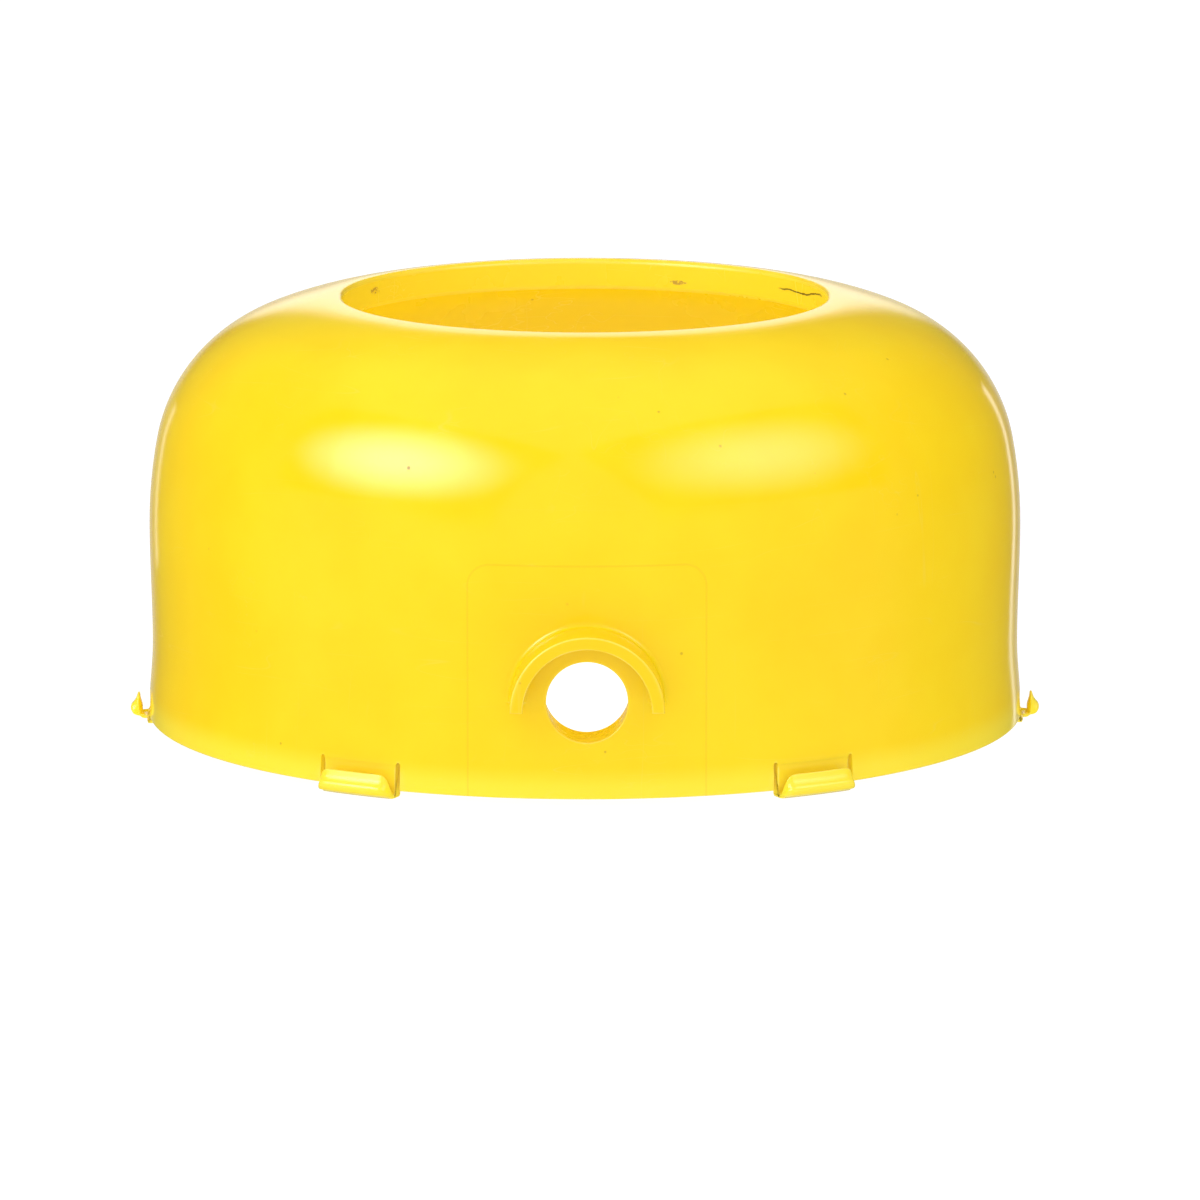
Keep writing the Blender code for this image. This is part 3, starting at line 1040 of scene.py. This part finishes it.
def skin_relief(tree, marks):
    """The surface's bumps, whose heights are in millimetres."""
    terms = [(marks["waves"], 0.07), (marks["peel"], 0.0022), (marks["mottle"], 0.004)]
    terms += [(marks["scratches"], -0.003), (marks["slide_step"], 0.02), (marks["slide_line"], -0.012)]
    terms += [(marks["crack"], -0.4), (marks["rubbed"], -0.02)]
    bump = tree.nodes.new("ShaderNodeBump")
    bump.inputs["Strength"].default_value = 1.0
    bump.inputs["Distance"].default_value = MM
    feed(tree, bump.inputs["Height"], add_up(tree, terms))
    return bump.outputs["Normal"]


def yellow_plastic():
    """Glossy yellow plastic, slightly see-through, with a used skin: cloudy colour, orange peel,
    hair scratches, dust, paler worn edges, the mould slide's line, two stains, a speck and a crack.
    Its colour also carries painted light, paler on the inside, along the rim, in the side hole's bore,
    on the slits' sides and under the hood, and painted shade, darker on the hood."""
    material = bpy.data.materials.new("moulded_yellow")
    material.use_nodes = True
    tree = material.node_tree
    shader = tree.nodes["Principled BSDF"]
    shader.inputs["Subsurface Weight"].default_value = SUBSURFACE_WEIGHT
    shader.inputs["Subsurface Radius"].default_value = SUBSURFACE_RADIUS
    shader.inputs["Subsurface Scale"].default_value = SUBSURFACE_SCALE
    point = skin_point(tree)
    zones = skin_zones(tree, point)
    marks = skin_marks(tree, point, zones)
    feed(tree, shader.inputs["Base Color"], skin_colour(tree, zones, marks))
    feed(tree, shader.inputs["Roughness"], skin_roughness(tree, zones, marks))
    feed(tree, shader.inputs["Normal"], skin_relief(tree, marks))
    return material


# ---------------------------------------------------------------- stage, light and camera


def stage_object(name, bm, glow):
    """A piece of the stage made of the mesh, which is used up, with its glowing material."""
    mesh = bpy.data.meshes.new(name)
    bm.to_mesh(mesh)
    bm.free()
    mesh.materials.append(glow)
    piece = bpy.data.objects.new(name, mesh)
    bpy.context.scene.collection.objects.link(piece)
    return piece


def flat_sheet(name, width, height, glow):
    bm = bmesh.new()
    bmesh.ops.create_grid(bm, x_segments=1, y_segments=1, size=0.5)
    bmesh.ops.scale(bm, verts=bm.verts, vec=(width, height, 1.0))
    return stage_object(name, bm, glow)


def glowing_material(name, base):
    """A material that gives off white light, and its shader, whose strength is still to be set."""
    material = bpy.data.materials.new(name)
    material.use_nodes = True
    shader = material.node_tree.nodes["Principled BSDF"]
    shader.inputs["Base Color"].default_value = base
    shader.inputs["Emission Color"].default_value = WHITE
    return material, shader


def make_floor():
    """A white light table. The dome's gloss doesn't show it, only the dimmer room."""
    glow, shader = glowing_material("light_table", TABLE_GREY)
    shader.inputs["Roughness"].default_value = 0.9
    shader.inputs["Specular IOR Level"].default_value = 0.0
    shader.inputs["Emission Strength"].default_value = FLOOR_GLOW
    floor = flat_sheet("floor", FLOOR_WIDTH, FLOOR_WIDTH, glow)
    floor.location.z = -FLOOR_GAP
    floor.visible_glossy = False


def make_table_glow():
    """The part of the light table under the dome, brighter, which lights the dome from inside."""
    glow, shader = glowing_material("table_glow", TABLE_GREY)
    shader.inputs["Specular IOR Level"].default_value = 0.0
    shader.inputs["Emission Strength"].default_value = TABLE_GLOW
    bm = bmesh.new()
    bmesh.ops.create_circle(bm, cap_ends=True, segments=64, radius=TABLE_RADIUS)
    bmesh.ops.translate(bm, verts=bm.verts, vec=(0.0, AXIS_Y, TABLE_LIFT))
    disc = stage_object("table_glow", bm, glow)
    disc.visible_glossy = False


def only_in_gloss(lamp):
    """Leaves a lamp to reflections: it is hidden from the camera and from soft light, and casts no shadow."""
    lamp.visible_camera = False
    lamp.visible_diffuse = False
    lamp.visible_shadow = False


def make_reflector(name, side, distance, low, high, radiance):
    """A narrow bright strip behind the dome, which gives a line of gloss down the wall's edge."""
    glow, shader = glowing_material(name, BLACK)
    shader.inputs["Emission Strength"].default_value = radiance
    glow.cycles.emission_sampling = "NONE"
    panel = flat_sheet(name, REFLECTOR_WIDTH, high - low, glow)
    turn = math.radians(REFLECTOR_ANGLE)
    shine = RIM_RADIUS * Vector((side * math.sin(turn), -math.cos(turn), 0.0))
    away = Vector((side * math.sin(2 * turn), -math.cos(2 * turn), 0.0))
    panel.location = CENTRE + shine + away * distance + Vector((0, 0, (low + high) / 2))
    panel.rotation_euler = away.to_track_quat("Z", "Y").to_euler()
    only_in_gloss(panel)


def from_front(azimuth, elevation):
    """The direction towards an azimuth from the front, turning towards +X, and an elevation."""
    turn, rise = math.radians(azimuth), math.radians(elevation)
    return Vector((math.sin(turn) * math.cos(rise), -math.cos(turn) * math.cos(rise), math.sin(rise)))


def make_softbox(name, azimuth, elevation, width, height, radiance):
    """A soft white panel facing the dome, brightest in its middle and fading out before its edges."""
    glow, shader = glowing_material(name, BLACK)
    shader.inputs["Specular IOR Level"].default_value = 0.0
    tree = glow.node_tree
    place = tree.nodes.new("ShaderNodeTexCoord").outputs["Object"]
    shrunk = vector_math(tree, "DIVIDE", place, (width, height, 1.0))
    reach = vector_math(tree, "LENGTH", shrunk, output="Value")
    feed(tree, shader.inputs["Emission Strength"], ramp(tree, reach, 0.0, 0.5, radiance, 0.0))
    panel = flat_sheet(name, width, height, glow)
    away = from_front(azimuth, elevation)
    panel.location = CENTRE + Vector((0, 0, BELLY_HEIGHT)) + away * LAMP_DISTANCE
    panel.rotation_euler = away.to_track_quat("Z", "Y").to_euler()
    only_in_gloss(panel)


def make_world():
    """The studio. Gloss sees a dim room with a paler ceiling and a low bright backdrop behind the
    dome, soft light from all round reaches everything else, and the camera sees plain white."""
    world = bpy.data.worlds.new("studio")
    world.use_nodes = True
    tree = world.node_tree
    direction = tree.nodes.new("ShaderNodeTexCoord").outputs["Generated"]
    parts = split_parts(tree, direction)
    height, depth = parts["Z"], parts["Y"]
    room = ramp(tree, depth, *FRONT_TO_REAR, FRONT_GLOW, REAR_GLOW)
    room = ramp(tree, height, *CEILING_HEIGHT, room, CEILING_GLOW)
    room = both(tree, room, ramp(tree, height, *BELOW_HEIGHT, BELOW_GLOW, 1.0))
    beside = magnitude(tree, parts["X"])
    edge = value_math(tree, "ADD", beside, value_math(tree, "MULTIPLY", height, BACKDROP_NARROWING))
    across = fade_out(tree, edge, *BACKDROP_SIDE)
    panel = both(tree, across, ramp(tree, height, *BACKDROP_TOP, BACKDROP_GLOW, 0.0))
    panel = both(tree, panel, ramp(tree, height, *BACKDROP_FOOT))
    skirt = both(tree, ramp(tree, beside, *SKIRT_SIDE, SKIRT_GLOW, 0.0), fade_out(tree, height, *SKIRT_TOP))
    behind = ramp(tree, depth, *BEHIND_DEPTH)
    gloss = value_math(tree, "ADD", room, both(tree, behind, value_math(tree, "ADD", panel, skirt)))
    tilt = vector_math(tree, "DOT_PRODUCT", direction, FILL_TILT, "Value")
    fill = value_math(tree, "ADD", tilt, FILL_GLOW)
    path = tree.nodes.new("ShaderNodeLightPath")
    diffuse = path.outputs["Is Diffuse Ray"]
    lit = ramp(tree, diffuse, 0.0, 1.0, gloss, fill)
    strength = ramp(tree, path.outputs["Is Camera Ray"], 0.0, 1.0, lit, 1.0)
    feed(tree, tree.nodes["Background"].inputs["Strength"], strength)
    tree.nodes["Background"].inputs["Color"].default_value = WHITE
    world.cycles.sampling_method = "NONE"
    bpy.context.scene.world = world


def make_camera():
    """The photograph's view: a long lens, a little above the dome, aimed near the middle of it."""
    camera = bpy.data.cameras.new("camera")
    camera.lens = CAMERA_LENS
    camera.sensor_width = 36.0
    camera.clip_start, camera.clip_end = 0.1, 50.0
    camera_object = bpy.data.objects.new("camera", camera)
    bpy.context.scene.collection.objects.link(camera_object)
    camera_object.location = CENTRE + from_front(CAMERA_AZIMUTH, CAMERA_ELEVATION) * CAMERA_DISTANCE
    target = CENTRE + Vector((AIM_RIGHT, 0.0, AIM_UP))
    direction = target - camera_object.location
    camera_object.rotation_euler = direction.to_track_quat("-Z", "Y").to_euler()
    bpy.context.scene.camera = camera_object


def main():
    plastic = yellow_plastic()
    make_shell(plastic)
    make_fingers(plastic)
    make_floor()
    make_table_glow()
    make_world()
    make_softbox("softbox_left", azimuth=-55, elevation=33, width=2.1, height=1.5, radiance=9.0)
    make_softbox("softbox_right", azimuth=52, elevation=37, width=2.3, height=1.6, radiance=3.5)
    make_reflector("reflector_left", side=-1, distance=0.5, low=-0.05, high=0.1, radiance=0.9)
    make_reflector("reflector_right", side=1, distance=0.5, low=-0.12, high=0.14, radiance=1.4)
    make_camera()
    bpy.context.scene.view_settings.view_transform = "Standard"


main()
